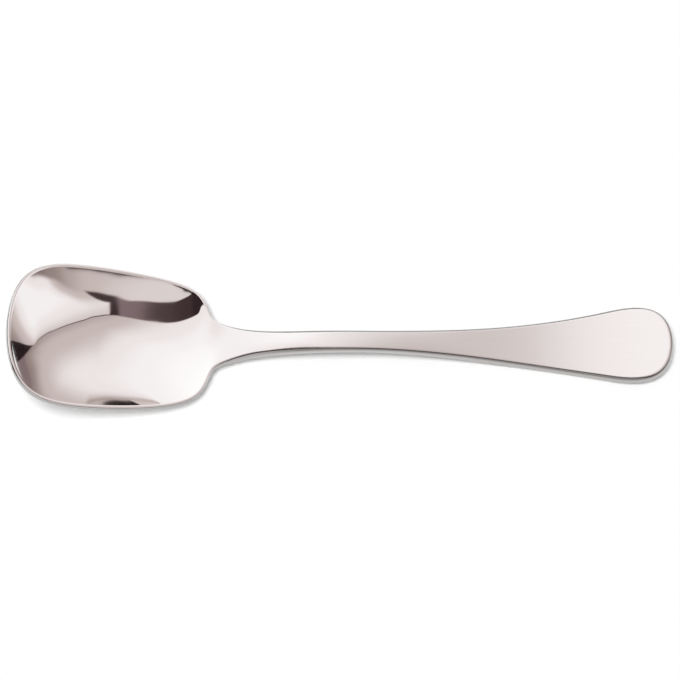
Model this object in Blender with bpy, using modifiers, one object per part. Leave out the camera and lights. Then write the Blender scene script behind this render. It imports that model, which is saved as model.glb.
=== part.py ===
"""Ice cream spoon, pressed from a single blank of stainless steel.

X runs along the spoon, from the nose of the bowl at -X to the end of the handle at +X. Y runs across it
and Z is up. The spoon lies as it does on a table: on the underside of the bowl and near the handle's end.
Distances called "from the nose" are measured along X. All sizes are in metres.
"""

import bmesh
import bpy
import numpy as np

# Plan of the bowl: an egg shape with squared corners
LENGTH = 0.140
BOWL_LENGTH = 0.0430
BOWL_WIDTH = 0.0324
BOWL_WIDEST_AT = 0.0155
BOWL_SQUARENESS = 0.578
REAR_SQUARENESS = 0.25

# Plan of the handle: flared at the neck, narrow at the waist, flared again to a rounded end
NECK_WIDTH = 0.0099
WAIST_WIDTH = 0.0044
NECK_FLARE_LENGTH = 0.0046
END_FLARE_FROM = 0.074
END_FLARE_WIDTH = 0.0214
END_FLARE_POWER = 1.89
END_ROUND_LENGTH = 0.0130
END_SQUARENESS = 0.30
SHOULDER_BLEND = 0.0062

# Side view: distance from the nose and height of the middle of the metal, along the edge of the spoon
NOSE_HEIGHT = 0.0123
RIM_HEIGHT = 0.0066
RIM_HEIGHT_AT = 0.022
NECK_HEIGHT = 0.00285
ARCH_HEIGHT = 0.0042
ARCH_AT = 0.066
HEEL_AT = 0.118
END_HEIGHT = 0.0030

# Metal: thin in the bowl, thick at the neck, a little thinner again at the end
BOWL_THICKNESS = 0.0011
NECK_THICKNESS = 0.0027
END_THICKNESS = 0.0022
THINNING_FROM = 0.038
THINNING_LENGTH = 0.016
BOWL_EDGE_RADIUS = 0.0005
HANDLE_EDGE_RADIUS = 0.00076

# The bowl's floor runs out into the neck over this share of its profile, is round at its deepest, and
# bends up into a straighter wall
RUN_OUT = 0.30
ROUND_FLOOR = 0.15
WALL_BEND = 0.6

# Depth of the two flats worn where the spoon rests
REST_FLAT_DEPTH = 0.00006

# Mesh: rows along half the spoon, columns from its middle line to its edge, steps round the edge
ROWS = 92
COLUMNS = 9
EDGE_SEGMENTS = 3
FINE_ROW_SHARE = 2.0
EDGE_STRIP = 1.2
FINE_STEPS = 4000
SEAM_TOLERANCE = 0.00001

# Polished stainless steel
STEEL_COLOUR = (0.78, 0.77, 0.75, 1.0)
STEEL_ROUGHNESS = 0.12


def ease(value, start, length):
    """Runs smoothly from 0 at start to 1 at start + length."""
    step = np.clip((value - start) / length, 0.0, 1.0)
    return step * step * (3.0 - 2.0 * step)


def bowl_position(x):
    """Place along the bowl: -1 at the nose, 0 where it is widest and 1 at its rear, on one smooth curve."""
    front = BOWL_WIDEST_AT
    rear = BOWL_LENGTH - BOWL_WIDEST_AT
    offset = x - front
    return offset * BOWL_LENGTH / (2.0 * front * rear + (rear - front) * offset)


def bowl_width_squared(x):
    """Square of the bowl's half width. It passes smoothly through zero at the nose and at the rear."""
    place = bowl_position(x)
    held = np.clip(place, -1.0, 1.0)
    square = (BOWL_SQUARENESS + REAR_SQUARENESS * held) * held**2
    return (BOWL_WIDTH / 2.0) ** 2 * (1.0 - place**2) / (1.0 - square)


def handle_half_width(x):
    neck = 2.0 * (NECK_WIDTH - WAIST_WIDTH) / (1.0 + np.exp((x - BOWL_LENGTH) / NECK_FLARE_LENGTH))
    flare_step = np.clip((x - END_FLARE_FROM) / (LENGTH - END_FLARE_FROM), 0.0, 1.0)
    flare = (END_FLARE_WIDTH - WAIST_WIDTH) * flare_step**END_FLARE_POWER
    place = np.clip((x - LENGTH + END_ROUND_LENGTH) / END_ROUND_LENGTH, 0.0, 1.0)
    rounding = np.sqrt((1.0 - place**2) / (1.0 - END_SQUARENESS * place**2))
    return (WAIST_WIDTH + neck + flare) / 2.0 * rounding


def half_width(x):
    """Half width of the whole spoon: the wider of bowl and handle, with a fillet at the shoulder.

    The squares are blended, because the bowl's own width ends upright at its rear and its square doesn't.
    """
    bowl = bowl_width_squared(x)
    handle = handle_half_width(x) ** 2
    blend = SHOULDER_BLEND * ease(x, BOWL_WIDEST_AT, BOWL_LENGTH - BOWL_WIDEST_AT)
    blend = blend * (1.0 - ease(x, BOWL_LENGTH, BOWL_LENGTH / 2.0))
    joined = (bowl + handle + np.sqrt((bowl - handle) ** 2 + blend**4)) / 2.0
    return np.sqrt(np.maximum(np.where(x < BOWL_WIDEST_AT, bowl, joined), 0.0))


def thickness(x):
    neck_share = ease(x, THINNING_FROM, THINNING_LENGTH)
    end_share = np.clip((x - BOWL_LENGTH) / (LENGTH - BOWL_LENGTH), 0.0, 1.0)
    thick = NECK_THICKNESS + (END_THICKNESS - NECK_THICKNESS) * end_share
    return BOWL_THICKNESS + (thick - BOWL_THICKNESS) * neck_share


def edge_radius(x):
    neck_share = ease(x, THINNING_FROM, THINNING_LENGTH)
    return BOWL_EDGE_RADIUS + (HANDLE_EDGE_RADIUS - BOWL_EDGE_RADIUS) * neck_share


def edge_height(x):
    """Height of the middle of the metal along the edge: a natural cubic spline through the side view."""
    heel_height = thickness(HEEL_AT) / 2.0 - REST_FLAT_DEPTH
    at = np.array([0.0, RIM_HEIGHT_AT, BOWL_LENGTH, ARCH_AT, HEEL_AT, LENGTH])
    height = np.array([NOSE_HEIGHT, RIM_HEIGHT, NECK_HEIGHT, ARCH_HEIGHT, heel_height, END_HEIGHT])
    span = np.diff(at)
    slope = np.diff(height) / span
    matrix = np.diag(2.0 * (span[:-1] + span[1:])) + np.diag(span[1:-1], 1) + np.diag(span[1:-1], -1)
    bend = np.concatenate([[0.0], np.linalg.solve(matrix, 6.0 * np.diff(slope)), [0.0]])
    i = np.clip(np.searchsorted(at, x, side="right") - 1, 0, len(span) - 1)
    before = at[i + 1] - x
    after = x - at[i]
    curved = (bend[i] * before**3 + bend[i + 1] * after**3) / (6.0 * span[i])
    left = (height[i] / span[i] - bend[i] * span[i] / 6.0) * before
    right = (height[i + 1] / span[i] - bend[i + 1] * span[i] / 6.0) * after
    return curved + left + right


def floor_share(x):
    """Depth of the bowl's floor as a share of its greatest depth, running out softly into the neck.

    The quartic takes over from the plain profile at the same height, slope and bend, and ends level at zero.
    """
    level = 1.0 - bowl_position(x) ** 2
    step = np.clip(level / RUN_OUT, -1.0, 1.0)
    soft = RUN_OUT * (3.0 + 8.0 * step + 6.0 * step**2 - step**4) / 16.0
    behind = np.where(level > RUN_OUT, level, soft)
    return np.where(x < BOWL_WIDEST_AT, level, behind)


def walled(dish):
    """The dish with its wall straightened towards the rim, as a hyperbola is."""
    rise = np.sqrt(WALL_BEND**2 + 1.0 - dish) - WALL_BEND
    return 1.0 - rise / (np.sqrt(WALL_BEND**2 + 1.0) - WALL_BEND)


def bowl_depth():
    """The depth at which the bowl's underside just stands on the table."""
    x = np.linspace(BOWL_WIDEST_AT / 2.0, BOWL_WIDEST_AT / 2.0 + BOWL_LENGTH / 2.0, FINE_STEPS)
    room = edge_height(x) - thickness(x) / 2.0 + REST_FLAT_DEPTH
    return np.min(room / walled(floor_share(x)))


def corner_depth(x, across):
    """Extra depth towards the bowl's corners, as a share of its greatest depth.

    It makes the floor's level lines smaller copies of the outline, so that the dish is hollow all over.
    """
    place = np.clip(bowl_position(x), -1.0, 1.0)
    square = BOWL_SQUARENESS + REAR_SQUARENESS * place
    along = place**2
    sideways = across**2 * (1.0 - along) / (1.0 - square * along)
    plain = along + sideways - square * along * sideways
    square = square * (1.0 + ROUND_FLOOR) * plain / (plain + ROUND_FLOOR)
    total = along + sideways
    level = (total + np.sqrt(total**2 - 4.0 * square * along * sideways)) / 2.0
    return plain - level


def sheet_height(x, y):
    """Height of the middle of the metal anywhere on the plan."""
    across = np.clip(np.abs(y) / np.maximum(half_width(x), SEAM_TOLERANCE), 0.0, 1.0)
    dish = floor_share(x) * (1.0 - across**2) + corner_depth(x, across)
    return edge_height(x) - bowl_depth() * walled(dish)


def outline():
    """Half the plan outline from nose to end, with its outward normals and its corner points."""
    turn = np.linspace(0.0, np.pi, FINE_STEPS)
    x = LENGTH * (1.0 - np.cos(turn)) / 2.0
    points = np.stack([x, half_width(x)], axis=1)
    along = np.gradient(points, axis=0)
    along /= np.linalg.norm(along, axis=1, keepdims=True)
    normals = np.stack([-along[:, 1], along[:, 0]], axis=1)
    sideways = np.flatnonzero(np.abs(normals[:, 1]) > np.abs(normals[:, 0]))
    return points, normals, sideways[0], sideways[-1]


def spread(points, normals, first, last, count):
    """Points and normals spread from first to last, closer together round the bowl, neck and end."""
    middle = (points[first:last, 0] + points[first + 1 : last + 1, 0]) / 2.0
    plain = (middle > THINNING_FROM + THINNING_LENGTH) & (middle < LENGTH - END_ROUND_LENGTH)
    steps = np.linalg.norm(np.diff(points[first : last + 1], axis=0), axis=1)
    walked = np.concatenate([[0.0], np.cumsum(np.where(plain, steps, FINE_ROW_SHARE * steps))])
    wanted = np.linspace(0.0, walked[-1], count + 1)
    index = np.interp(wanted, walked, np.arange(first, last + 1))
    steady = np.arange(len(points))
    spots = np.stack([np.interp(index, steady, points[:, k]) for k in (0, 1)], axis=1)
    facing = np.stack([np.interp(index, steady, normals[:, k]) for k in (0, 1)], axis=1)
    return spots, facing


def strip_inside(spots, facing):
    """The line where the rounded edge's strip begins, just inside the outline."""
    return spots - facing * (EDGE_STRIP * edge_radius(spots[:, 0]))[:, None]


def half_plan():
    """Plan of the half sheet inside the edge strip, by row and column, and the outline round it."""
    points, normals, nose_corner, end_corner = outline()
    side, side_facing = spread(points, normals, nose_corner, end_corner, ROWS)
    nose, nose_facing = spread(points, normals, 0, nose_corner, COLUMNS)
    end, end_facing = spread(points, normals, end_corner, len(points) - 1, COLUMNS)
    end, end_facing = end[::-1], end_facing[::-1]
    side_in = strip_inside(side, side_facing)
    nose_in = strip_inside(nose, nose_facing)
    end_in = strip_inside(end, end_facing)

    share = np.linspace(0.0, 1.0, COLUMNS + 1)[None, :, None]
    centre = np.zeros_like(side_in)
    centre[:, 0] = np.interp(side_in[:, 0], side_in[[0, -1], 0], [nose_in[0, 0], end_in[0, 0]])
    inside = centre[:, None] + share * (side_in - centre)[:, None]
    near_nose = 1.0 - ease(side_in[:, 0], side_in[0, 0], BOWL_LENGTH / 2.0)
    near_end = ease(side_in[:, 0], side_in[-1, 0] - END_ROUND_LENGTH, END_ROUND_LENGTH)
    inside = inside + near_nose[:, None, None] * (nose_in - inside[0])[None]
    inside = inside + near_end[:, None, None] * (end_in - inside[-1])[None]
    inside[:, 0, 1] = 0.0
    return inside, side, nose, end


def build_sheet():
    """The open half sheet: a grid bent to the plan, its outer strip extruded, then pressed to shape."""
    inside, side, nose, end = half_plan()
    bm = bmesh.new()
    bmesh.ops.create_grid(bm, x_segments=ROWS, y_segments=COLUMNS, size=1.0)
    outer = {}
    for vert in bm.verts:
        row = round((vert.co.x + 1.0) / 2.0 * ROWS)
        column = round((vert.co.y + 1.0) / 2.0 * COLUMNS)
        vert.co = (*inside[row, column], 0.0)
        if row == 0:
            outer[vert] = nose[column]
        if row == ROWS:
            outer[vert] = end[column]
        if column == COLUMNS:
            outer[vert] = side[row]
    rim = [edge for edge in bm.edges if edge.is_boundary and max(v.co.y for v in edge.verts) > 0.0]
    made = bmesh.ops.extrude_edge_only(bm, edges=rim)
    for vert in [item for item in made["geom"] if isinstance(item, bmesh.types.BMVert)]:
        source = next(edge.other_vert(vert) for edge in vert.link_edges if edge.other_vert(vert) in outer)
        vert.co = (*outer[source], 0.0)
    plan = np.array([vert.co for vert in bm.verts])
    height = sheet_height(plan[:, 0], plan[:, 1])
    for vert, x, y, z in zip(bm.verts, plan[:, 0], plan[:, 1], height):
        vert.co = (x - LENGTH / 2.0, y, z)
    bmesh.ops.recalc_face_normals(bm, faces=bm.faces)
    return bm


def collection(name):
    made = bpy.data.collections.new(name)
    bpy.context.scene.collection.children.link(made)
    return made


def steel():
    material = bpy.data.materials.new("stainless_steel")
    material.use_nodes = True
    shader = material.node_tree.nodes["Principled BSDF"]
    shader.inputs["Base Color"].default_value = STEEL_COLOUR
    shader.inputs["Metallic"].default_value = 1.0
    shader.inputs["Roughness"].default_value = STEEL_ROUGHNESS
    return material


def build_table_cutter(cutters):
    """A block whose top is the table, to cut the two rest flats."""
    bm = bmesh.new()
    bmesh.ops.create_cube(bm, size=2.0 * LENGTH)
    bmesh.ops.translate(bm, vec=(0.0, 0.0, -LENGTH), verts=bm.verts)
    mesh = bpy.data.meshes.new("table_cutter")
    bm.to_mesh(mesh)
    bm.free()
    cutter = bpy.data.objects.new("table_cutter", mesh)
    cutter.hide_render = True
    cutter.display_type = "WIRE"
    cutters.objects.link(cutter)
    return cutter


def build_spoon(parts, cutter):
    bm = build_sheet()
    weight_layer = bm.edges.layers.float.new("bevel_weight_edge")
    for edge in bm.edges:
        if edge.is_boundary and max(vert.co.y for vert in edge.verts) > 0.0:
            middle = (edge.verts[0].co.x + edge.verts[1].co.x) / 2.0 + LENGTH / 2.0
            edge[weight_layer] = edge_radius(middle) / HANDLE_EDGE_RADIUS
    mesh = bpy.data.meshes.new("spoon")
    bm.to_mesh(mesh)
    bm.free()
    spoon = bpy.data.objects.new("spoon", mesh)
    parts.objects.link(spoon)
    mesh.materials.append(steel())
    group = spoon.vertex_groups.new(name="thickness")
    for vert in mesh.vertices:
        group.add([vert.index], thickness(vert.co.x + LENGTH / 2.0) / NECK_THICKNESS, "REPLACE")

    mirror = spoon.modifiers.new("both_halves", "MIRROR")
    mirror.use_axis = (False, True, False)
    mirror.use_clip = True
    mirror.merge_threshold = SEAM_TOLERANCE
    metal = spoon.modifiers.new("metal", "SOLIDIFY")
    metal.thickness = NECK_THICKNESS
    metal.offset = 0.0
    metal.vertex_group = group.name
    metal.use_quality_normals = True
    edges = spoon.modifiers.new("rounded_edges", "BEVEL")
    edges.width = HANDLE_EDGE_RADIUS
    edges.segments = EDGE_SEGMENTS
    edges.limit_method = "WEIGHT"
    edges.use_clamp_overlap = False
    flats = spoon.modifiers.new("rest_flats", "BOOLEAN")
    flats.operation = "DIFFERENCE"
    flats.solver = "EXACT"
    flats.object = cutter
    mesh.shade_smooth()


def main():
    for obj in list(bpy.data.objects):
        bpy.data.objects.remove(obj)
    parts = collection("ice_cream_spoon")
    cutters = collection("cutters")
    build_spoon(parts, build_table_cutter(cutters))


main()
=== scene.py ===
"""Looks of the ice cream spoon: its polished steel skin, and the soft studio light it lies in.

X runs along the spoon from the nose of the bowl at -X to the handle's end at +X, Y across it, Z up.
The spoon lies on the floor at Z = 0. All sizes are in metres.
"""

import math

import bpy
import numpy as np
from mathutils import Matrix, Vector


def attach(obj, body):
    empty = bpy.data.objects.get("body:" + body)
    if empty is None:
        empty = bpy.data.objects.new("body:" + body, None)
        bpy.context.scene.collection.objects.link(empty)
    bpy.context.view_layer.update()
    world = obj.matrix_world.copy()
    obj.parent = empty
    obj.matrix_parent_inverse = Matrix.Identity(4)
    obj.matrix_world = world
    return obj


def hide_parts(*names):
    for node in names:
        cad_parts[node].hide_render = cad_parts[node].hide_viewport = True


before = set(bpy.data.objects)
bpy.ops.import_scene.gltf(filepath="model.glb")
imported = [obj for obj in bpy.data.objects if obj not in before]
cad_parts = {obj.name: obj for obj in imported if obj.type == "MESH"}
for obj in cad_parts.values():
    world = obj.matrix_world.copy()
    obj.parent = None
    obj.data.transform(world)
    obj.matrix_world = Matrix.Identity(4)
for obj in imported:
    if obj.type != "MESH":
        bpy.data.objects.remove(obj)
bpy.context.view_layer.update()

# Plan of the bowl: an egg shape with squared corners
LENGTH = 0.140
BOWL_LENGTH = 0.0430
BOWL_WIDTH = 0.0324
BOWL_WIDEST_AT = 0.0155
BOWL_SQUARENESS = 0.578
REAR_SQUARENESS = 0.25
REAR_HOLD = 0.9
REAR_HOLD_SOFTNESS = 0.2

# Plan of the handle: flared at the neck, narrow at the waist, flared again to a rounded end
NECK_WIDTH = 0.0099
WAIST_WIDTH = 0.0044
NECK_FLARE_LENGTH = 0.0046
END_FLARE_FROM = 0.074
END_FLARE_WIDTH = 0.0214
END_FLARE_POWER = 1.89
END_ROUND_LENGTH = 0.0130
END_SQUARENESS = 0.30
SHOULDER_BLEND = 0.0062

# Side view: distance from the nose and height of the middle of the metal, along the edge
NOSE_HEIGHT = 0.0123
RIM_HEIGHT = 0.0066
RIM_HEIGHT_AT = 0.022
NECK_HEIGHT = 0.00285
ARCH_HEIGHT = 0.0042
ARCH_AT = 0.066
HEEL_AT = 0.118
END_HEIGHT = 0.0030
RUN_OUT = 0.30
ROUND_FLOOR = 0.15
WALL_BEND = 0.6
REST_FLAT_DEPTH = 0.00006

# Slight forms of the pressed sheet: the bowl's corners run out at its rear, from this share of its length,
# the waist has a crown, and the nose is let down a little
CORNER_FADE_FROM = 0.93
WAIST_CROWN = 0.00022
CROWN_FROM = 0.045
CROWN_RISE_LENGTH = 0.020
CROWN_TO = 0.082
CROWN_FALL_LENGTH = 0.022
NOSE_EASE = 0.00014
NOSE_EASE_LENGTH = 0.005

# Metal: thin in the bowl, thick at the neck, a little thinner again at the end
BOWL_THICKNESS = 0.0011
NECK_THICKNESS = 0.0027
END_THICKNESS = 0.0022
THINNING_FROM = 0.038
THINNING_LENGTH = 0.016
BOWL_EDGE_RADIUS = 0.0005
HANDLE_EDGE_RADIUS = 0.00076

# Fineness of the skin
ROWS = 240
COLUMNS = 40
EDGE_SEGMENTS = 9
EDGE_STRIP = 1.2
FINE_ROW_SHARE = 2.0
FINE_STEPS = 6000
SEAM_TOLERANCE = 0.00001

# Camera
CAMERA_ELEVATION = 68.0
CAMERA_DISTANCE = 0.9
CAMERA_LENS = 225.04
CAMERA_SENSOR = 36.0
CAMERA_ROLL = -0.207
AIM = (-0.0003, 0.00205)

# Lamps over the paper: direction towards the lamp, spread in degrees, strength
KEY_LAMP = ((-0.13, -0.19, 0.97), 24.0, 2.27)
FILL_LAMP = ((0.0, 0.0, 1.0), 120.0, 0.90)

# Floor
FLOOR_SIZE = 6.0
FLOOR_GLOW = 0.10
GRAIN_SCALE = (400.0, 400.0, 400.0)
PAPER_TONES = [(0.3, (0.915, 0.915, 0.915)), (0.7, (0.925, 0.925, 0.925))]

# Steel: polished face; darker tones on the bowl's rim and on the handle's rounded edge, flat side and
# underside are painted reflection and painted shade
STEEL_TONE = (0.92, 0.91, 0.90)
# Darker tones on the bowl's rim and on the handle's rounded edge and flat side: painted reflection of dark
# surroundings
PAINTED_RIM_REFLECTION_TONE = (0.42, 0.405, 0.40)
PAINTED_EDGE_REFLECTION_TONE = (0.40, 0.385, 0.38)
PAINTED_SIDE_REFLECTION_TONE = (0.46, 0.44, 0.43)
# Darker tone on the handle's underside: painted shade
PAINTED_UNDER_SHADE_TONE = (0.70, 0.69, 0.68, 1.0)
MIRROR_ROUGHNESS = (0.025, 0.055)
SATIN_ROUGHNESS = (0.115, 0.145)
EDGE_ROUGHNESS = 0.05
BRUSHING_TONE = (0.991, 1.009)
SMUDGE_SCALE = (90.0, 140.0, 90.0)
BRUSHING_SCALE = (110.0, 2300.0, 110.0)
SMUDGE_RANGE = (0.45, 0.75)
BRUSHING_RANGE = (0.3, 0.7)

# Where one finish or painted tone passes into the next: place along X, and how far the surface faces up
HANDLE_FINISH = (-0.030, -0.005)
PAINTED_RIM_FACING = (0.45, 0.72)
PAINTED_SIDE_FACING = (0.30, 0.44)
HANDLE_FACE_FACING = (0.88, 0.975)
ROUNDED_FACING = (0.80, 0.95)
PAINTED_SHADE_UNDER_FACING = (-0.4, -0.1)

# Painted sheen on the handle's satin face: its tone runs lighter and darker by share of the spoon's length,
# in place of the reflection's change along it
SATIN_PAINTED_SHEEN_TONES = [
    (0.335, (0.92, 0.91, 0.90)),
    (0.40, (0.985, 0.975, 0.965)),
    (0.60, (0.805, 0.795, 0.785)),
    (0.69, (0.81, 0.80, 0.79)),
    (0.95, (0.97, 0.96, 0.95)),
]

# Studio that the steel mirrors: tone of its cards by their brightness, and tone of its plain walls
STUDIO_STRENGTH = 1.09
CARD_TONES = [
    (0.0, (0.003, 0.001, 0.001)), (0.036, (0.048, 0.029, 0.032)), (0.165, (0.20, 0.141, 0.15)),
    (0.24, (0.281, 0.222, 0.205)), (0.50, (0.56, 0.48, 0.465)), (0.80, (0.835, 0.786, 0.791)),
    (0.89, (0.903, 0.878, 0.884)), (1.0, (1.0, 0.995, 0.99)),
]
WALL_TONE = (0.54, 0.535, 0.53, 1.0)
CARD_SOFTNESS = 0.003
ROOM_SOFTNESS = 0.002
NEAR_SOFTNESS = 0.0015
FAR_CARD_LEAST = 0.18
ROOM_LIGHT = 0.014

# Where the plain walls take over from the dark room, past the far card, at the left and past the near card
FAR_WALL = (0.12, 0.18)
LEFT_WALL = (-0.66, -0.58)
NEAR_WALL = (-0.24, -0.16)

# Edges of the studio's cards on a chart of the sky as the spoon sees it: the zenith is at its middle, the
# horizon at radius 1, u runs to +X and v to +Y
CHART_LOW = -0.6
CHART_SPAN = 1.8
FAR_CARD_EDGE = [
    (-0.60, 0.0), (-0.214, 0.090), (-0.205, 0.101), (-0.190, 0.113), (-0.179, 0.118), (-0.166, 0.119),
    (-0.140, 0.113), (-0.121, 0.101), (-0.101, 0.081), (-0.077, 0.049), (-0.051, 0.013), (-0.019, -0.034),
    (0.027, -0.100), (0.066, -0.151), (0.087, -0.176), (0.108, -0.193), (0.130, -0.202), (0.154, -0.202),
    (0.212, -0.172), (0.343, -0.074), (0.516, 0.089), (0.659, 0.238), (0.724, 0.329), (0.760, 0.398),
    (0.775, 0.456), (0.794, 0.537), (0.806, 0.578), (0.835, 0.616), (1.2, 1.0),
]
RIGHT_CARD_EDGE = [
    (-0.60, -0.2), (0.108, -0.200), (0.130, -0.209), (0.154, -0.209), (0.212, -0.179), (0.343, -0.081),
    (0.516, 0.082), (0.659, 0.231), (0.724, 0.322), (0.760, 0.391), (0.868, 0.429), (0.899, 0.443),
    (1.2, 0.58),
]
GREY_CARD_EDGE = [
    (-0.60, -0.6), (-0.12, -0.09), (-0.097, -0.048), (-0.086, -0.036), (-0.074, -0.038), (-0.052, -0.060),
    (-0.026, -0.093), (0.005, -0.135), (0.037, -0.179), (0.067, -0.217), (0.096, -0.250), (0.121, -0.282),
    (0.135, -0.300), (0.152, -0.315), (0.169, -0.326), (0.184, -0.3305), (0.200, -0.331), (1.2, -0.331),
]
NEAR_CARD_EDGE = [
    (-0.60, 0.1), (-0.12, -0.02), (-0.062, -0.085), (-0.030, -0.137), (0.005, -0.191), (0.037, -0.2385),
    (0.071, -0.281), (0.100, -0.3125), (0.123, -0.3345), (0.142, -0.351), (0.155, -0.3605), (0.167, -0.3715),
    (0.180, -0.3765), (0.196, -0.3800), (0.220, -0.3780), (0.245, -0.3725), (0.262, -0.369), (0.280, -0.368),
    (0.34, -0.360), (0.44, -0.318), (0.56, -0.245), (0.75, -0.10), (1.2, 0.2),
]
CARD_BORDER = [
    (-0.60, -0.330), (0.219, -0.330), (0.293, -0.329), (0.336, -0.318), (0.367, -0.307), (0.401, -0.293),
    (0.441, -0.276), (0.481, -0.257), (0.530, -0.230), (0.62, -0.17), (0.75, -0.09), (1.2, 0.2),
]
GREY_CARD_LIGHT = [
    (-0.60, 0.66), (0.05, 0.645), (0.10, 0.638), (0.141, 0.611), (0.168, 0.557), (0.196, 0.49), (0.235, 0.41),
    (0.277, 0.364), (0.337, 0.285), (0.43, 0.215), (0.53, 0.17), (1.2, 0.15),
]
ROOM_EDGE = [
    (-0.60, 0.20), (-0.40, 0.22), (-0.33, 0.30), (-0.27, 0.38), (-0.19, 0.41), (-0.13, 0.46),
    (-0.09, 0.515), (-0.05, 0.575), (-0.02, 0.635), (0.0, 0.69), (0.02, 0.735), (0.05, 0.81),
    (0.08, 0.865), (0.095, 0.880), (0.101, 0.862), (0.107, 0.851), (0.119, 0.872), (0.131, 0.891),
    (0.138, 0.906), (0.145, 0.924), (0.152, 0.97), (0.17, 1.05), (1.2, 1.15),
]
HAZE_EDGE = [
    (-0.60, 1.1), (0.02, 0.95), (0.045, 0.79), (0.058, 0.757), (0.068, 0.769), (0.086, 0.796),
    (0.1045, 0.828), (0.120, 0.856), (0.133, 0.878), (0.1475, 0.902), (0.157, 0.917), (0.165, 0.926),
    (0.18, 1.0), (1.2, 1.1),
]
FAR_CARD_LIGHT = [
    (-0.60, 0.98), (-0.25, 0.955), (-0.15, 0.92), (-0.05, 0.81), (0.05, 0.70), (0.10, 0.65), (0.15, 0.635),
    (0.25, 0.59), (0.35, 0.545), (0.45, 0.505), (0.55, 0.46), (0.65, 0.42), (1.2, 0.35),
]


def ease(value, start, length):
    step = np.clip((value - start) / length, 0.0, 1.0)
    return step * step * (3.0 - 2.0 * step)


def bowl_position(x):
    """Place along the bowl: -1 at the nose, 0 where it is widest, 1 at its rear."""
    front = BOWL_WIDEST_AT
    rear = BOWL_LENGTH - BOWL_WIDEST_AT
    offset = x - front
    return offset * BOWL_LENGTH / (2.0 * front * rear + (rear - front) * offset)


def bowl_width_squared(x):
    place = bowl_position(x)
    late = np.clip((place - REAR_HOLD) / REAR_HOLD_SOFTNESS, 0.0, 1.0)
    held = np.clip(place, -1.0, REAR_HOLD) + REAR_HOLD_SOFTNESS * (late - late**2 / 2.0)
    square = (BOWL_SQUARENESS + REAR_SQUARENESS * held) * held**2
    return (BOWL_WIDTH / 2.0) ** 2 * (1.0 - place**2) / (1.0 - square)


def handle_half_width(x):
    neck = 2.0 * (NECK_WIDTH - WAIST_WIDTH) / (1.0 + np.exp((x - BOWL_LENGTH) / NECK_FLARE_LENGTH))
    flare_step = np.clip((x - END_FLARE_FROM) / (LENGTH - END_FLARE_FROM), 0.0, 1.0)
    flare = (END_FLARE_WIDTH - WAIST_WIDTH) * flare_step**END_FLARE_POWER
    place = np.clip((x - LENGTH + END_ROUND_LENGTH) / END_ROUND_LENGTH, 0.0, 1.0)
    rounding = np.sqrt((1.0 - place**2) / (1.0 - END_SQUARENESS * place**2))
    return (WAIST_WIDTH + neck + flare) / 2.0 * rounding


def half_width(x):
    bowl = bowl_width_squared(x)
    handle = handle_half_width(x) ** 2
    blend = SHOULDER_BLEND * ease(x, BOWL_WIDEST_AT, BOWL_LENGTH - BOWL_WIDEST_AT)
    blend = blend * (1.0 - ease(x, BOWL_LENGTH, BOWL_LENGTH / 2.0))
    joined = (bowl + handle + np.sqrt((bowl - handle) ** 2 + blend**4)) / 2.0
    return np.sqrt(np.maximum(np.where(x < BOWL_WIDEST_AT, bowl, joined), 0.0))


def thickness(x):
    neck_share = ease(x, THINNING_FROM, THINNING_LENGTH)
    end_share = np.clip((x - BOWL_LENGTH) / (LENGTH - BOWL_LENGTH), 0.0, 1.0)
    thick = NECK_THICKNESS + (END_THICKNESS - NECK_THICKNESS) * end_share
    return BOWL_THICKNESS + (thick - BOWL_THICKNESS) * neck_share


def edge_radius(x):
    neck_share = ease(x, THINNING_FROM, THINNING_LENGTH)
    return BOWL_EDGE_RADIUS + (HANDLE_EDGE_RADIUS - BOWL_EDGE_RADIUS) * neck_share


def edge_height(x):
    """Height of the middle of the metal along the edge: a natural cubic spline through the side view."""
    heel_height = thickness(HEEL_AT) / 2.0 - REST_FLAT_DEPTH
    at = np.array([0.0, RIM_HEIGHT_AT, BOWL_LENGTH, ARCH_AT, HEEL_AT, LENGTH])
    height = np.array([NOSE_HEIGHT, RIM_HEIGHT, NECK_HEIGHT, ARCH_HEIGHT, heel_height, END_HEIGHT])
    span = np.diff(at)
    slope = np.diff(height) / span
    matrix = np.diag(2.0 * (span[:-1] + span[1:])) + np.diag(span[1:-1], 1) + np.diag(span[1:-1], -1)
    bend = np.concatenate([[0.0], np.linalg.solve(matrix, 6.0 * np.diff(slope)), [0.0]])
    i = np.clip(np.searchsorted(at, x, side="right") - 1, 0, len(span) - 1)
    before = at[i + 1] - x
    after = x - at[i]
    curved = (bend[i] * before**3 + bend[i + 1] * after**3) / (6.0 * span[i])
    left = (height[i] / span[i] - bend[i] * span[i] / 6.0) * before
    right = (height[i + 1] / span[i] - bend[i + 1] * span[i] / 6.0) * after
    return curved + left + right


def floor_share(x):
    """Depth of the bowl's floor as a share of its greatest depth, running out softly into the neck."""
    level = 1.0 - bowl_position(x) ** 2
    step = np.clip(level / RUN_OUT, -1.0, 1.0)
    soft = RUN_OUT * (3.0 + 8.0 * step + 6.0 * step**2 - step**4) / 16.0
    behind = np.where(level > RUN_OUT, level, soft)
    return np.where(x < BOWL_WIDEST_AT, level, behind)


def walled(dish):
    """The dish with its wall straightened towards the rim, as a hyperbola is."""
    rise = np.sqrt(WALL_BEND**2 + 1.0 - dish) - WALL_BEND
    return 1.0 - rise / (np.sqrt(WALL_BEND**2 + 1.0) - WALL_BEND)


def bowl_depth():
    x = np.linspace(BOWL_WIDEST_AT / 2.0, BOWL_WIDEST_AT / 2.0 + BOWL_LENGTH / 2.0, FINE_STEPS)
    room = edge_height(x) - thickness(x) / 2.0 + REST_FLAT_DEPTH
    return np.min(room / walled(floor_share(x)))


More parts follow.
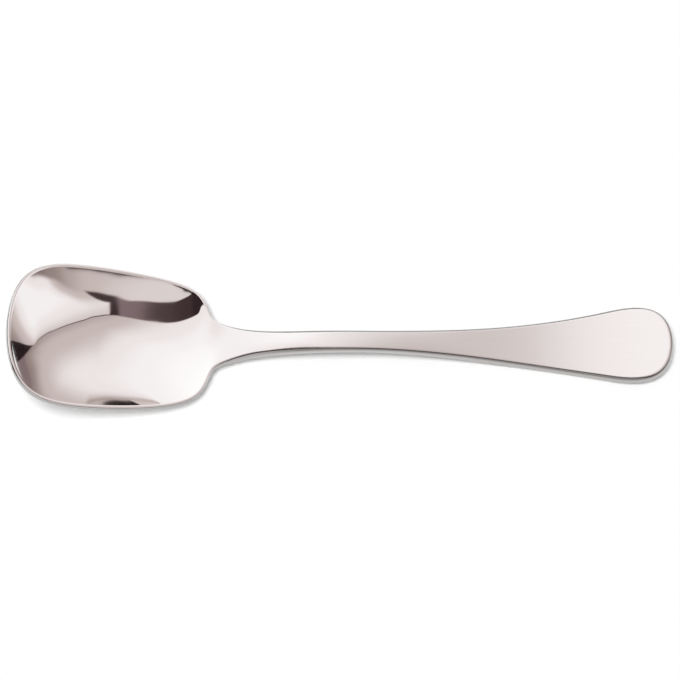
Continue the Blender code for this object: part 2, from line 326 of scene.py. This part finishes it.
def corner_depth(x, across):
    """Extra depth towards the bowl's corners, as a share of its greatest depth."""
    place = np.clip(bowl_position(x), -1.0, 1.0)
    square = BOWL_SQUARENESS + REAR_SQUARENESS * place
    along = place**2
    sideways = across**2 * (1.0 - along) / (1.0 - square * along)
    plain = along + sideways - square * along * sideways
    square = square * (1.0 + ROUND_FLOOR) * plain / (plain + ROUND_FLOOR)
    total = along + sideways
    level = (total + np.sqrt(total**2 - 4.0 * square * along * sideways)) / 2.0
    fade = ease(x, CORNER_FADE_FROM * BOWL_LENGTH, (1.0 - CORNER_FADE_FROM) * BOWL_LENGTH)
    return (plain - level) * (1.0 - fade)


def sheet_height(x, y):
    """Height of the middle of the metal anywhere on the plan."""
    across = np.clip(np.abs(y) / np.maximum(half_width(x), SEAM_TOLERANCE), 0.0, 1.0)
    dish = floor_share(x) * (1.0 - across**2) + corner_depth(x, across)
    crown = WAIST_CROWN * ease(x, CROWN_FROM, CROWN_RISE_LENGTH)
    crown = crown * (1.0 - ease(x, CROWN_TO, CROWN_FALL_LENGTH))
    nose = NOSE_EASE * np.clip(1.0 - x / NOSE_EASE_LENGTH, 0.0, 1.0) ** 2
    return edge_height(x) - nose - bowl_depth() * walled(dish) + crown * (1.0 - across**2)


def outline():
    """Half the plan outline from nose to end, with its outward normals and its corner points."""
    turn = np.linspace(0.0, np.pi, FINE_STEPS)
    x = LENGTH * (1.0 - np.cos(turn)) / 2.0
    points = np.stack([x, half_width(x)], axis=1)
    along = np.gradient(points, axis=0)
    along /= np.linalg.norm(along, axis=1, keepdims=True)
    normals = np.stack([-along[:, 1], along[:, 0]], axis=1)
    sideways = np.flatnonzero(np.abs(normals[:, 1]) > np.abs(normals[:, 0]))
    return points, normals, sideways[0], sideways[-1]


def spread(points, normals, first, last, count):
    """Points and normals spread from first to last, closer together round the bowl, neck and end."""
    middle = (points[first:last, 0] + points[first + 1 : last + 1, 0]) / 2.0
    plain = (middle > THINNING_FROM + THINNING_LENGTH) & (middle < LENGTH - END_ROUND_LENGTH)
    steps = np.linalg.norm(np.diff(points[first : last + 1], axis=0), axis=1)
    walked = np.concatenate([[0.0], np.cumsum(np.where(plain, steps, FINE_ROW_SHARE * steps))])
    wanted = np.linspace(0.0, walked[-1], count + 1)
    index = np.interp(wanted, walked, np.arange(first, last + 1))
    steady = np.arange(len(points))
    spots = np.stack([np.interp(index, steady, points[:, k]) for k in (0, 1)], axis=1)
    facing = np.stack([np.interp(index, steady, normals[:, k]) for k in (0, 1)], axis=1)
    return spots, facing


def strip_inside(spots, facing):
    return spots - facing * (EDGE_STRIP * edge_radius(spots[:, 0]))[:, None]


def half_plan():
    """Plan of the half blank by row and column: a ruled sheet with a narrow strip along its outer edge."""
    points, normals, nose_corner, end_corner = outline()
    side, side_facing = spread(points, normals, nose_corner, end_corner, ROWS)
    nose, nose_facing = spread(points, normals, 0, nose_corner, COLUMNS)
    end, end_facing = spread(points, normals, end_corner, len(points) - 1, COLUMNS)
    end, end_facing = end[::-1], end_facing[::-1]
    side_in = strip_inside(side, side_facing)
    nose_in = strip_inside(nose, nose_facing)
    end_in = strip_inside(end, end_facing)

    share = np.linspace(0.0, 1.0, COLUMNS + 1)[None, :, None]
    centre = np.zeros_like(side_in)
    centre[:, 0] = np.interp(side_in[:, 0], side_in[[0, -1], 0], [nose_in[0, 0], end_in[0, 0]])
    inside = centre[:, None] + share * (side_in - centre)[:, None]
    near_nose = 1.0 - ease(side_in[:, 0], side_in[0, 0], BOWL_LENGTH / 2.0)
    near_end = ease(side_in[:, 0], side_in[-1, 0] - END_ROUND_LENGTH, END_ROUND_LENGTH)
    inside = inside + near_nose[:, None, None] * (nose_in - inside[0])[None]
    inside = inside + near_end[:, None, None] * (end_in - inside[-1])[None]
    inside[:, 0, 1] = 0.0

    plan = np.zeros((ROWS + 3, COLUMNS + 2, 2))
    plan[1:-1, :-1] = inside
    plan[1:-1, -1] = side
    plan[0, :-1] = nose
    plan[-1, :-1] = end
    plan[0, -1] = side[0]
    plan[-1, -1] = side[-1]
    return plan


def select_rim(skin):
    """Selects the open edge of the half sheet and leaves out its middle line."""
    bpy.ops.object.mode_set(mode="EDIT")
    bpy.ops.mesh.select_mode(type="EDGE")
    bpy.ops.mesh.select_all(action="DESELECT")
    bpy.ops.mesh.select_non_manifold()
    bpy.ops.object.mode_set(mode="OBJECT")
    for edge in skin.data.edges:
        ends = [skin.data.vertices[i].co.y for i in edge.vertices]
        edge.select = edge.select and max(ends) > SEAM_TOLERANCE


def apply_modifier(skin, kind, **settings):
    bpy.ops.object.modifier_add(type=kind)
    modifier = skin.modifiers[-1]
    for name, value in settings.items():
        setattr(modifier, name, value)
    bpy.ops.object.modifier_apply(modifier=modifier.name)


def model_skin():
    """The spoon's skin: a grid cut to the half plan, pressed, mirrored, given its metal and rounded edges."""
    bpy.ops.object.select_all(action="DESELECT")
    bpy.ops.mesh.primitive_grid_add(x_subdivisions=ROWS + 2, y_subdivisions=COLUMNS + 1, size=2.0)
    skin = bpy.context.object
    skin.name = "spoon_skin"
    mesh = skin.data
    mesh.name = "spoon_skin"
    flat = np.zeros(len(mesh.vertices) * 3)
    mesh.vertices.foreach_get("co", flat)
    flat = flat.reshape(-1, 3)
    row = np.rint((flat[:, 0] + 1.0) / 2.0 * (ROWS + 2)).astype(int)
    column = np.rint((flat[:, 1] + 1.0) / 2.0 * (COLUMNS + 1)).astype(int)
    plan = half_plan()[row, column]
    height = sheet_height(plan[:, 0], plan[:, 1])
    pressed = np.stack([plan[:, 0] - LENGTH / 2.0, plan[:, 1], height], axis=1)
    mesh.vertices.foreach_set("co", pressed.ravel())

    bpy.ops.object.mode_set(mode="EDIT")
    bpy.ops.mesh.select_all(action="SELECT")
    bpy.ops.mesh.remove_doubles(threshold=SEAM_TOLERANCE)
    bpy.ops.mesh.normals_make_consistent(inside=False)
    select_rim(skin)
    weights = mesh.attributes.new("bevel_weight_edge", "FLOAT", "EDGE")
    for edge in mesh.edges:
        if edge.select:
            middle = sum(mesh.vertices[i].co.x for i in edge.vertices) / 2.0 + LENGTH / 2.0
            weights.data[edge.index].value = edge_radius(middle) / HANDLE_EDGE_RADIUS
    metal = skin.vertex_groups.new(name="metal")
    for vert in mesh.vertices:
        metal.add([vert.index], thickness(vert.co.x + LENGTH / 2.0) / NECK_THICKNESS, "REPLACE")

    apply_modifier(
        skin,
        "MIRROR",
        use_axis=(False, True, False),
        use_clip=True,
        merge_threshold=SEAM_TOLERANCE,
    )
    apply_modifier(
        skin,
        "SOLIDIFY",
        thickness=NECK_THICKNESS,
        offset=0.0,
        vertex_group="metal",
        use_quality_normals=True,
    )
    apply_modifier(
        skin,
        "BEVEL",
        width=HANDLE_EDGE_RADIUS,
        segments=EDGE_SEGMENTS,
        limit_method="WEIGHT",
        use_clamp_overlap=False,
    )
    for vert in mesh.vertices:
        vert.co.z = max(vert.co.z, 0.0)
    bpy.ops.object.mode_set(mode="EDIT")
    bpy.ops.mesh.select_all(action="SELECT")
    bpy.ops.mesh.normals_make_consistent(inside=False)
    bpy.ops.object.mode_set(mode="OBJECT")
    bpy.ops.object.shade_smooth()
    return skin


def link(tree, source, target):
    """Sets a socket from another socket, or from a plain value."""
    if isinstance(source, bpy.types.NodeSocket):
        tree.links.new(source, target)
    else:
        target.default_value = source


def calc(tree, operation, first, second=0.0):
    made = tree.nodes.new("ShaderNodeMath")
    made.operation = operation
    link(tree, first, made.inputs[0])
    link(tree, second, made.inputs[1])
    return made.outputs[0]


def ramp(tree, value, start, end, low, high, smooth=True):
    """Value from start to end turned into low to high, held outside."""
    made = tree.nodes.new("ShaderNodeMapRange")
    made.interpolation_type = "SMOOTHSTEP" if smooth else "LINEAR"
    for index, item in enumerate((value, start, end, low, high)):
        link(tree, item, made.inputs[index])
    return made.outputs[0]


def mix(tree, share, first, second):
    made = tree.nodes.new("ShaderNodeMix")
    made.data_type = "FLOAT"
    link(tree, share, made.inputs[0])
    link(tree, first, made.inputs[2])
    link(tree, second, made.inputs[3])
    return made.outputs[0]


def chart_curve(tree, across, points):
    """A curve on the sky's chart: its height v, or a brightness, for each place u across it."""
    share = calc(tree, "DIVIDE", calc(tree, "SUBTRACT", across, CHART_LOW), CHART_SPAN)
    made = tree.nodes.new("ShaderNodeFloatCurve")
    made.inputs[0].default_value = 1.0
    link(tree, share, made.inputs[1])
    curve = made.mapping.curves[0]
    places = [((x - CHART_LOW) / CHART_SPAN, (y - CHART_LOW) / CHART_SPAN) for x, y in points]
    curve.points[0].location = places[0]
    curve.points[1].location = places[-1]
    for place in places[1:-1]:
        curve.points.new(*place)
    for point in curve.points:
        point.handle_type = "AUTO_CLAMPED"
    made.mapping.update()
    return calc(tree, "ADD", calc(tree, "MULTIPLY", made.outputs[0], CHART_SPAN), CHART_LOW)


def mix_tones(tree, share, first, second):
    made = tree.nodes.new("ShaderNodeMix")
    made.data_type = "RGBA"
    for index, item in ((0, share), (6, first), (7, second)):
        link(tree, item, made.inputs[index])
    return made.outputs[2]


def noise(tree, place, scale):
    """Soft noise, drawn out along the axes with the smaller scales."""
    stretched = tree.nodes.new("ShaderNodeVectorMath")
    stretched.operation = "MULTIPLY"
    tree.links.new(place, stretched.inputs[0])
    stretched.inputs[1].default_value = scale
    made = tree.nodes.new("ShaderNodeTexNoise")
    tree.links.new(stretched.outputs[0], made.inputs["Vector"])
    made.inputs["Scale"].default_value = 1.0
    made.inputs["Detail"].default_value = 3.0
    return made.outputs[0]


def tones(tree, value, stops):
    """A colour for the value, run smoothly from stop to stop."""
    made = tree.nodes.new("ShaderNodeValToRGB")
    made.color_ramp.interpolation = "EASE"
    for index, (place, colour) in enumerate(stops):
        stop = made.color_ramp.elements[index] if index < 2 else made.color_ramp.elements.new(place)
        stop.position = place
        stop.color = (*colour, 1.0)
    tree.links.new(value, made.inputs[0])
    return made.outputs[0]


def border_at(tree, value, softness):
    """0 before a card's border and 1 past it, with a soft step between."""
    return ramp(tree, value, -softness, softness, 0.0, 1.0)


def weighted(tree, constant, *terms):
    """constant + weight * value, for each (weight, value)."""
    total = constant
    for weight, value in terms:
        total = calc(tree, "ADD", calc(tree, "MULTIPLY", value, weight), total)
    return total


def beyond(tree, value, limit):
    """How far the value goes past the limit."""
    return calc(tree, "MAXIMUM", calc(tree, "SUBTRACT", value, limit), 0.0)


def studio_light(tree):
    """Brightness of the studio's cards where the steel looks, and the share of plain wall there."""
    parts = tree.nodes.new("ShaderNodeSeparateXYZ")
    tree.links.new(tree.nodes.new("ShaderNodeTexCoord").outputs["Generated"], parts.inputs[0])
    rise = calc(tree, "MAXIMUM", calc(tree, "ADD", parts.outputs[2], 1.0), 0.05)
    u = calc(tree, "DIVIDE", parts.outputs[0], rise)
    v = calc(tree, "DIVIDE", parts.outputs[1], rise)
    out = calc(tree, "SQRT", calc(tree, "ADD", calc(tree, "MULTIPLY", u, u), calc(tree, "MULTIPLY", v, v)))

    # Far card: brightest at its left, dimmer along its near edge and towards the horizon
    above = calc(tree, "SUBTRACT", v, chart_curve(tree, u, FAR_CARD_EDGE))
    far_card = border_at(tree, above, CARD_SOFTNESS)
    far_light = weighted(
        tree,
        -0.084,
        (1.0, chart_curve(tree, u, FAR_CARD_LIGHT)),
        (0.42, v),
        (-0.5, calc(tree, "POWER", out, 8.0)),
        (-1.3, calc(tree, "MULTIPLY", beyond(tree, u, 0.3), beyond(tree, v, 0.5))),
    )
    far_light = calc(tree, "MAXIMUM", far_light, FAR_CARD_LEAST)
    far_light = calc(tree, "MULTIPLY", far_light, ramp(tree, above, 0.0, 0.12, 0.86, 1.0))

    # A grey haze and the dark room show over the far card's top edge, and plain wall past them
    over = calc(tree, "SUBTRACT", v, chart_curve(tree, u, HAZE_EDGE))
    haze = calc(
        tree,
        "MULTIPLY",
        ramp(tree, over, -0.010, 0.008, 0.0, 0.36),
        ramp(tree, over, 0.010, 0.024, 1.0, 0.35),
    )
    haze = calc(tree, "ADD", haze, ramp(tree, over, -0.045, -0.004, 0.0, 0.13))
    far_light = calc(tree, "MULTIPLY", far_light, calc(tree, "SUBTRACT", 1.0, haze))
    over = calc(tree, "SUBTRACT", v, chart_curve(tree, u, ROOM_EDGE))
    far_light = calc(tree, "MULTIPLY", far_light, ramp(tree, over, -ROOM_SOFTNESS, ROOM_SOFTNESS, 1.0, 0.0))
    far_light = calc(tree, "MULTIPLY", far_light, ramp(tree, u, -0.36, -0.33, 0.0, 1.0))
    far_wall = calc(
        tree, "MAXIMUM", ramp(tree, over, *FAR_WALL, 0.0, 1.0), ramp(tree, u, *LEFT_WALL, 1.0, 0.0)
    )

    # Right card: white, dimmer along the far card and towards the horizon
    below = calc(tree, "SUBTRACT", chart_curve(tree, u, RIGHT_CARD_EDGE), v)
    left_side = border_at(tree, weighted(tree, -0.0428, (1.0, u), (0.3375, v)), CARD_SOFTNESS)
    near_side = border_at(tree, weighted(tree, 0.178, (0.729, u), (1.0, v)), CARD_SOFTNESS)
    right_card = calc(tree, "MULTIPLY", border_at(tree, below, CARD_SOFTNESS), left_side)
    right_card = calc(tree, "MULTIPLY", right_card, near_side)
    right_light = calc(
        tree, "MULTIPLY", ramp(tree, below, -0.06, 0.20, 0.555, 0.875), ramp(tree, out, 0.80, 1.0, 1.0, 0.45)
    )

    # Grey card below it, on the camera's side
    grey_gap = calc(tree, "SUBTRACT", chart_curve(tree, u, GREY_CARD_EDGE), v)
    grey_card = border_at(tree, grey_gap, CARD_SOFTNESS)
    grey_light = chart_curve(tree, u, GREY_CARD_LIGHT)
    border = calc(tree, "SUBTRACT", v, chart_curve(tree, u, CARD_BORDER))
    step = mix(
        tree,
        ramp(tree, u, 0.28, 0.46, 0.0, 0.8),
        ramp(tree, border, -0.004, 0.070, 0.0, 1.0),
        ramp(tree, border, -0.006, 0.008, 0.0, 1.0),
    )
    both = calc(tree, "MAXIMUM", right_card, grey_card)
    both_light = mix(tree, calc(tree, "MULTIPLY", right_card, step), grey_light, right_light)
    near_gap = calc(tree, "SUBTRACT", v, chart_curve(tree, u, NEAR_CARD_EDGE))
    both = calc(tree, "MULTIPLY", both, border_at(tree, near_gap, NEAR_SOFTNESS))

    # The dark room between the cards, with a faint veil
    slant = weighted(tree, 0.0, (1.0, u), (0.44, v))
    veil = calc(
        tree,
        "MULTIPLY",
        ramp(tree, slant, -0.065, -0.012, 0.0, 0.10),
        ramp(tree, slant, -0.006, 0.008, 1.0, 0.0),
    )
    dark = calc(
        tree,
        "MULTIPLY",
        ramp(tree, slant, -0.13, -0.06, 0.006, 0.056),
        ramp(tree, slant, -0.004, 0.014, 1.0, 0.25),
    )
    dark = calc(tree, "MULTIPLY", calc(tree, "ADD", veil, dark), ramp(tree, v, 0.10, 0.20, 1.0, 0.0))
    dark = calc(tree, "MULTIPLY", dark, ramp(tree, near_gap, -0.002, 0.0, 0.0, 1.0))
    dark = calc(tree, "ADD", dark, ROOM_LIGHT)
    near_wall = ramp(tree, near_gap, *NEAR_WALL, 1.0, 0.0)
    light = mix(tree, both, dark, both_light)
    walls = mix(tree, far_card, mix(tree, both, near_wall, 0.0), far_wall)
    return mix(tree, far_card, light, far_light), walls


def studio_world():
    world = bpy.data.worlds.new("studio")
    bpy.context.scene.world = world
    world.use_nodes = True
    tree = world.node_tree
    tree.nodes.clear()
    light, walls = studio_light(tree)
    tint = mix_tones(tree, walls, tones(tree, light, CARD_TONES), WALL_TONE)
    cards = tree.nodes.new("ShaderNodeBackground")
    tree.links.new(tint, cards.inputs["Color"])
    cards.inputs["Strength"].default_value = STUDIO_STRENGTH
    tree.links.new(cards.outputs[0], tree.nodes.new("ShaderNodeOutputWorld").inputs[0])
    # The studio shows in the steel alone. The lamps light the paper
    world.cycles_visibility.diffuse = False


def lamp(name, place, spread_angle, strength):
    """A soft lamp that lights the paper. The polished steel shows the studio's cards and not the lamp."""
    data = bpy.data.lights.new(name, "SUN")
    data.angle = math.radians(spread_angle)
    data.energy = strength
    made = bpy.data.objects.new(name, data)
    bpy.context.scene.collection.objects.link(made)
    made.rotation_euler = (-Vector(place)).to_track_quat("-Z", "Y").to_euler()
    made.visible_glossy = False


def steel():
    """Polished steel: a mirror in the bowl and a fine satin on the handle, with painted reflection as darker
    edges, a painted sheen along the handle and painted shade on its underside.
    """
    material = bpy.data.materials.new("polished_steel")
    material.use_nodes = True
    tree = material.node_tree
    shader = tree.nodes["Principled BSDF"]
    place = tree.nodes.new("ShaderNodeTexCoord")
    along = tree.nodes.new("ShaderNodeSeparateXYZ")
    tree.links.new(place.outputs["Object"], along.inputs[0])
    facing = tree.nodes.new("ShaderNodeSeparateXYZ")
    tree.links.new(place.outputs["Normal"], facing.inputs[0])
    handle = ramp(tree, along.outputs[0], *HANDLE_FINISH, 0.0, 1.0)
    upright = calc(tree, "ABSOLUTE", facing.outputs[2])

    # Faint smudges in the bowl and fine brushing along the handle
    smudge = noise(tree, place.outputs["Object"], SMUDGE_SCALE)
    brushing = noise(tree, place.outputs["Object"], BRUSHING_SCALE)
    # Painted sheen: the handle's satin tone runs lighter and darker along its length
    share = calc(tree, "ADD", calc(tree, "DIVIDE", along.outputs[0], LENGTH), 0.5)
    satin = tree.nodes.new("ShaderNodeHueSaturation")
    tree.links.new(tones(tree, share, SATIN_PAINTED_SHEEN_TONES), satin.inputs["Color"])
    tree.links.new(ramp(tree, brushing, *BRUSHING_RANGE, *BRUSHING_TONE, smooth=False), satin.inputs["Value"])

    # Painted reflection: the bowl's rim and the handle's rounded edges and sides get darker tones than the
    # face; painted shade darkens the handle's underside
    bowl_tone_with_painted_rim = tones(tree, upright, list(zip(PAINTED_RIM_FACING, (PAINTED_RIM_REFLECTION_TONE, STEEL_TONE))))
    painted_edge_reflection_tone = tones(tree, upright, list(zip(PAINTED_SIDE_FACING, (PAINTED_SIDE_REFLECTION_TONE, PAINTED_EDGE_REFLECTION_TONE))))
    face = ramp(tree, upright, *HANDLE_FACE_FACING, 0.0, 1.0)
    # Painted shade: the handle's downward-facing surface gets a darker tone
    painted_under_shade = ramp(tree, facing.outputs[2], *PAINTED_SHADE_UNDER_FACING, 1.0, 0.0)
    satin_tone = mix_tones(tree, painted_under_shade, satin.outputs[0], PAINTED_UNDER_SHADE_TONE)
    handle_tone = mix_tones(tree, face, painted_edge_reflection_tone, satin_tone)
    tree.links.new(mix_tones(tree, handle, bowl_tone_with_painted_rim, handle_tone), shader.inputs["Base Color"])
    shader.inputs["Metallic"].default_value = 1.0
    mirror_rough = ramp(tree, smudge, *SMUDGE_RANGE, *MIRROR_ROUGHNESS)
    satin_rough = ramp(tree, brushing, *BRUSHING_RANGE, *SATIN_ROUGHNESS, smooth=False)
    face_rough = mix(tree, handle, mirror_rough, satin_rough)
    at_edge = ramp(tree, upright, *ROUNDED_FACING, 1.0, 0.0)
    tree.links.new(mix(tree, at_edge, face_rough, EDGE_ROUGHNESS), shader.inputs["Roughness"])
    return material


def floor_stage():
    """White paper with a faint grain, which keeps the spoon's shadow."""
    bpy.ops.object.select_all(action="DESELECT")
    bpy.ops.mesh.primitive_plane_add(size=FLOOR_SIZE, location=(0.0, 0.0, 0.0))
    floor = bpy.context.object
    floor.name = "floor"
    material = bpy.data.materials.new("white_paper")
    material.use_nodes = True
    tree = material.node_tree
    tree.nodes.clear()
    place = tree.nodes.new("ShaderNodeTexCoord").outputs["Object"]
    paper = tree.nodes.new("ShaderNodeBsdfDiffuse")
    grain = noise(tree, place, GRAIN_SCALE)
    tree.links.new(tones(tree, grain, PAPER_TONES), paper.inputs["Color"])
    path = tree.nodes.new("ShaderNodeLightPath")
    seen = calc(tree, "MAXIMUM", path.outputs["Is Camera Ray"], path.outputs["Is Glossy Ray"])
    seen = calc(tree, "MAXIMUM", seen, path.outputs["Is Transmission Ray"])
    glow = tree.nodes.new("ShaderNodeEmission")
    tree.links.new(calc(tree, "MULTIPLY", seen, FLOOR_GLOW), glow.inputs["Strength"])
    both = tree.nodes.new("ShaderNodeAddShader")
    tree.links.new(paper.outputs[0], both.inputs[0])
    tree.links.new(glow.outputs[0], both.inputs[1])
    tree.links.new(both.outputs[0], tree.nodes.new("ShaderNodeOutputMaterial").inputs[0])
    floor.data.materials.append(material)


def place_camera():
    rise = math.radians(CAMERA_ELEVATION)
    ahead = Vector((0.0, math.cos(rise), -math.sin(rise)))
    up = Vector((0.0, math.sin(rise), math.cos(rise)))
    data = bpy.data.cameras.new("camera")
    data.lens = CAMERA_LENS
    data.sensor_width = CAMERA_SENSOR
    data.clip_start = 0.01
    data.clip_end = 10.0
    camera = bpy.data.objects.new("camera", data)
    bpy.context.scene.collection.objects.link(camera)
    camera.location = -ahead * CAMERA_DISTANCE
    aim = Vector((AIM[0], 0.0, 0.0)) + up * AIM[1]
    turn = (aim - camera.location).to_track_quat("-Z", "Y").to_matrix()
    turn = turn @ Matrix.Rotation(math.radians(CAMERA_ROLL), 3, "Z")
    camera.rotation_euler = turn.to_euler()
    bpy.context.scene.camera = camera


place_camera()
skin = model_skin()
skin.data.materials.clear()
skin.data.materials.append(steel())
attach(skin, "root")
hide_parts("spoon")
floor_stage()
studio_world()
lamp("key_lamp", *KEY_LAMP)
lamp("fill_lamp", *FILL_LAMP)
bpy.context.scene.view_settings.view_transform = "Standard"
